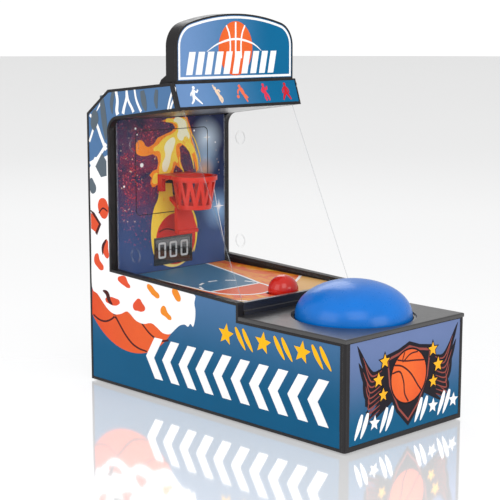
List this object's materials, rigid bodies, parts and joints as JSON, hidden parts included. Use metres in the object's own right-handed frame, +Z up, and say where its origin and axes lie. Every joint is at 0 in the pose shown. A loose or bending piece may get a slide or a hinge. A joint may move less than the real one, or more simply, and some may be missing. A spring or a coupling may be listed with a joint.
{
  "type": "desktop basketball arcade machine",
  "caption": "Desk-top basketball toy: a dome button kicks a ball over a small court to a hoop on a backboard with a score display, under an arched header.",
  "frame": {"origin": "centre of the footprint, on the surface that the rubber feet stand on", "axes": "+Z up, +Y from the player towards the backboard, +X to the player's right"},
  "size_m": [0.11, 0.24, 0.254],
  "materials": {
    "black_plastic": "satin moulded",
    "black_gloss": "polished",
    "inner_plastic": "as moulded",
    "printed_sheet": "printed, semi-gloss laminate",
    "clear_plastic": "clear, polished",
    "rubber": "matt",
    "steel": "zinc plated",
    "blue_dome": "polished",
    "red_plastic": "semi-gloss moulded",
    "red_ball": "semi-gloss",
    "display_glass": "smoked glass",
    "digit_grey": "printed",
    "board_green": "solder resist",
    "cell_sleeve": "shrink sleeve",
    "wire_red": "PVC"
  },
  "bodies": {
    "cabinet": {"backboard": "black_plastic", "backboard_sheet": "printed_sheet", "base_plate": "black_plastic", "base_screws": "steel", "batteries": "cell_sleeve", "battery_contacts": "steel", "battery_tray": "inner_plastic", "battery_wires": "wire_red", "button_bezel": "black_gloss", "button_guide": "inner_plastic", "court_floor": "black_plastic", "court_riser": "black_plastic", "court_sheet": "printed_sheet", "deck_cover": "black_plastic", "display_digits": "digit_grey", "display_frame": "black_gloss", "display_glass": "display_glass", "flap_bracket": "inner_plastic", "flap_pin": "steel", "front_panel": "black_plastic", "front_sheet": "printed_sheet", "header_sheet": "printed_sheet", "header_shell": "black_plastic", "header_sign": "black_plastic", "hoop": "red_plastic", "hoop_screws": "steel", "left_side_sheet": "printed_sheet", "left_side_wall": "black_plastic", "left_window": "clear_plastic", "lever_bracket": "inner_plastic", "lever_pin": "steel", "main_board": "board_green", "rear_cover": "black_plastic", "rear_screws": "steel", "right_side_sheet": "printed_sheet", "right_side_wall": "black_plastic", "right_window": "clear_plastic", "roof_panel": "black_plastic", "rubber_feet": "rubber", "score_switch": "inner_plastic", "soffit_panel": "black_plastic", "speaker": "inner_plastic", "switch_body": "inner_plastic", "visor_panel": "black_plastic", "visor_sheet": "printed_sheet"},
    "button": {"dome_button": "blue_dome", "button_stem": "inner_plastic", "button_spring": "steel"},
    "launch_lever": {"launch_lever": "inner_plastic", "launch_cup": "red_plastic"},
    "ball": {"ball": "red_ball"},
    "score_flap": {"score_flap": "red_plastic"},
    "switch_knob": {"switch_knob": "inner_plastic"},
    "battery_door": {"battery_door": "black_plastic", "door_screw": "steel"}
  },
  "joints": [
    {"name": "button_press", "type": "slide", "parent": "cabinet", "child": "button", "axis": [0, 0, -1], "range_m": [0, 0.008], "stiffness_N_per_m": 220, "springref_m": -0.008, "deforming": ["button_spring"]},
    {"name": "lever_kick", "type": "hinge", "parent": "cabinet", "child": "launch_lever", "pos_m": [0, -0.0325, 0.06], "axis": [1, 0, 0], "range_deg": [0, 18]},
    {"name": "ball_flight", "type": "slide", "parent": "cabinet", "child": "ball", "axis": [0, 0.5339, 0.8455], "range_m": [0, 0.09852]},
    {"name": "flap_swing", "type": "hinge", "parent": "cabinet", "child": "score_flap", "pos_m": [0, 0.1, 0.127], "axis": [1, 0, 0], "range_deg": [0, 10], "stiffness_Nm_per_rad": 0.004, "springref_deg": -11.46},
    {"name": "switch_slide", "type": "slide", "parent": "cabinet", "child": "switch_knob", "axis": [1, 0, 0], "range_m": [0, 0.004]},
    {"name": "door_swing", "type": "hinge", "parent": "cabinet", "child": "battery_door", "pos_m": [0, 0.1189, 0.019], "axis": [-1, 0, 0], "range_deg": [0, 95]}
  ],
  "couplings": [
    {"joint": "lever_kick", "follows": "button_press", "rad_per_m": 39.27},
    {"joint": "ball_flight", "follows": "button_press", "ratio": 12.315}
  ]
}
